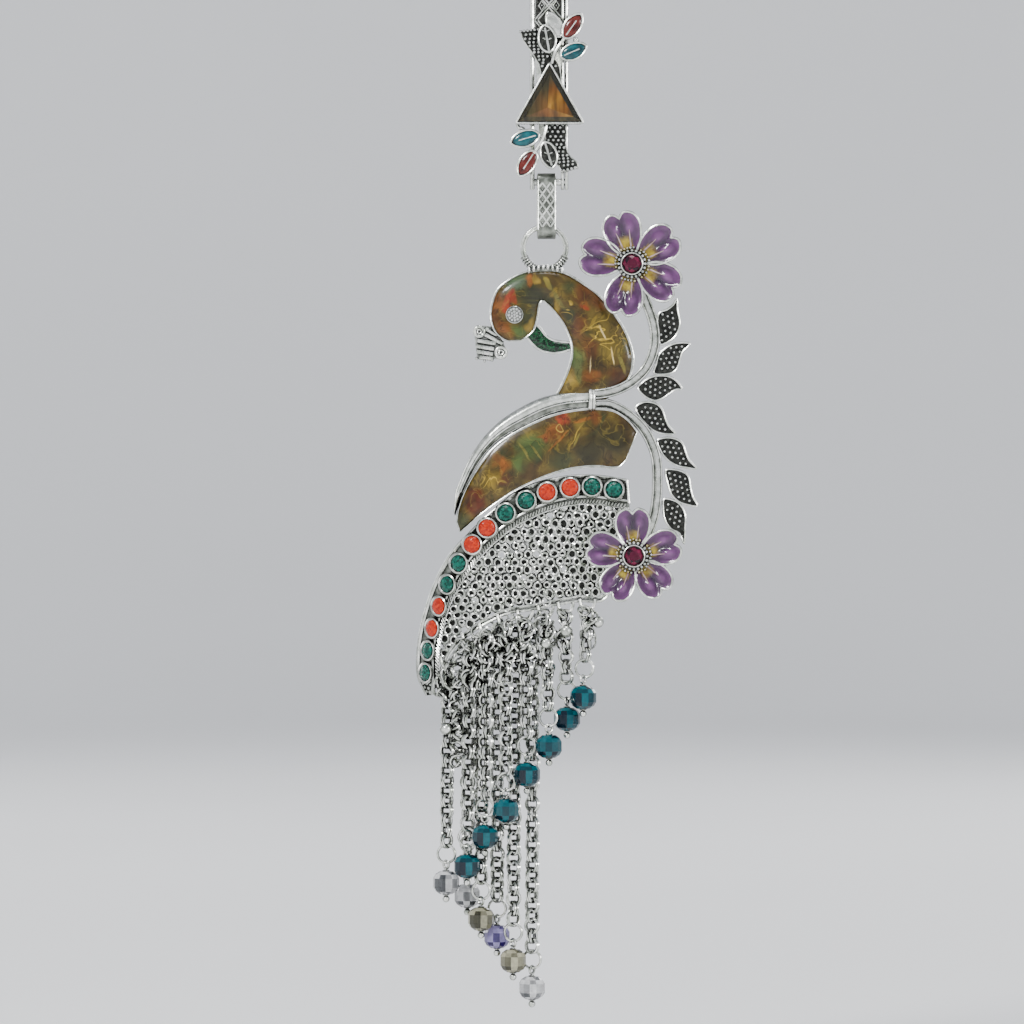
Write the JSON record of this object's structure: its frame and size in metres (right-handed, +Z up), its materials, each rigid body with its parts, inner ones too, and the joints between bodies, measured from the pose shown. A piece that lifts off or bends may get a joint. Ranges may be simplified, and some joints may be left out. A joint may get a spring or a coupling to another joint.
{
  "type": "hair bun pin",
  "caption": "Oxidised silver hair bun pin: hook bar, strip bail and a hinged peacock pendant with enamel, set stones, flowers and a fringe of bead-tipped chains.",
  "frame": {"origin": "inside of the hook's bend, where the pin hangs on the hair or a rod, midway across the bar", "axes": "+Z up along the hook bar, -Y towards the decorated front, +X to the right seen from the front"},
  "size_m": [0.0559, 0.0144, 0.2121],
  "materials": {
    "oxidised_silver": "silver plate with black recesses, polished high spots",
    "amber": "polished step cut",
    "red_enamel": "glossy resin enamel",
    "teal_enamel": "glossy resin enamel",
    "marbled_enamel": "glossy resin enamel, marbled amber, olive and orange",
    "green_enamel": "glossy resin enamel",
    "purple_enamel": "glossy resin enamel",
    "garnet": "polished",
    "emerald": "polished",
    "coral": "polished",
    "teal_glass": "clear faceted",
    "clear_glass": "clear faceted",
    "smoky_glass": "clear faceted",
    "violet_glass": "clear faceted"
  },
  "bodies": {
    "root": {"hook_bar": "oxidised_silver", "triangle_stone": "amber", "upper_red_enamel": "red_enamel", "upper_teal_enamel": "teal_enamel", "lower_teal_enamel": "teal_enamel", "lower_red_enamel": "red_enamel"},
    "bail": {"bail": "oxidised_silver"},
    "pendant": {"body_frame": "oxidised_silver", "neck_enamel": "marbled_enamel", "wing_enamel": "marbled_enamel", "beak_enamel": "green_enamel", "eye_stone": "clear_glass", "flower_upper": "oxidised_silver", "flower_upper_enamel": "purple_enamel", "flower_upper_stone": "garnet", "flower_lower": "oxidised_silver", "flower_lower_enamel": "purple_enamel", "flower_lower_stone": "garnet", "tail_frame": "oxidised_silver", "band_stone_01": "emerald", "band_stone_02": "emerald", "band_stone_03": "coral", "band_stone_04": "coral", "band_stone_05": "emerald", "band_stone_06": "emerald", "band_stone_07": "coral", "band_stone_08": "coral", "band_stone_09": "emerald", "band_stone_10": "emerald", "band_stone_11": "coral", "band_stone_12": "coral", "band_stone_13": "emerald", "band_stone_14": "emerald", "front_strand_1": "oxidised_silver", "front_strand_2": "oxidised_silver", "front_strand_3": "oxidised_silver", "front_strand_4": "oxidised_silver", "front_strand_5": "oxidised_silver", "front_strand_6": "oxidised_silver", "front_strand_7": "oxidised_silver", "front_strand_8": "oxidised_silver", "front_bead_1": "teal_glass", "front_bead_2": "teal_glass", "front_bead_3": "teal_glass", "front_bead_4": "teal_glass", "front_bead_5": "teal_glass", "front_bead_6": "teal_glass", "front_bead_7": "teal_glass", "front_bead_8": "clear_glass", "back_strand_1": "oxidised_silver", "back_strand_2": "oxidised_silver", "back_strand_3": "oxidised_silver", "back_strand_4": "oxidised_silver", "back_strand_5": "oxidised_silver", "back_bead_1": "clear_glass", "back_bead_2": "smoky_glass", "back_bead_3": "violet_glass", "back_bead_4": "smoky_glass", "back_bead_5": "clear_glass"}
  },
  "joints": [
    {"name": "bail_swing", "type": "hinge", "parent": "root", "child": "bail", "pos_m": [-0.0005, -0.0029, -0.0454], "axis": [1, 0, 0], "range_deg": [-75, 75]},
    {"name": "pendant_swing", "type": "hinge", "parent": "bail", "child": "pendant", "pos_m": [-0.0009, -0.0029, -0.0543], "axis": [1, 0, 0], "range_deg": [-55, 55]}
  ]
}
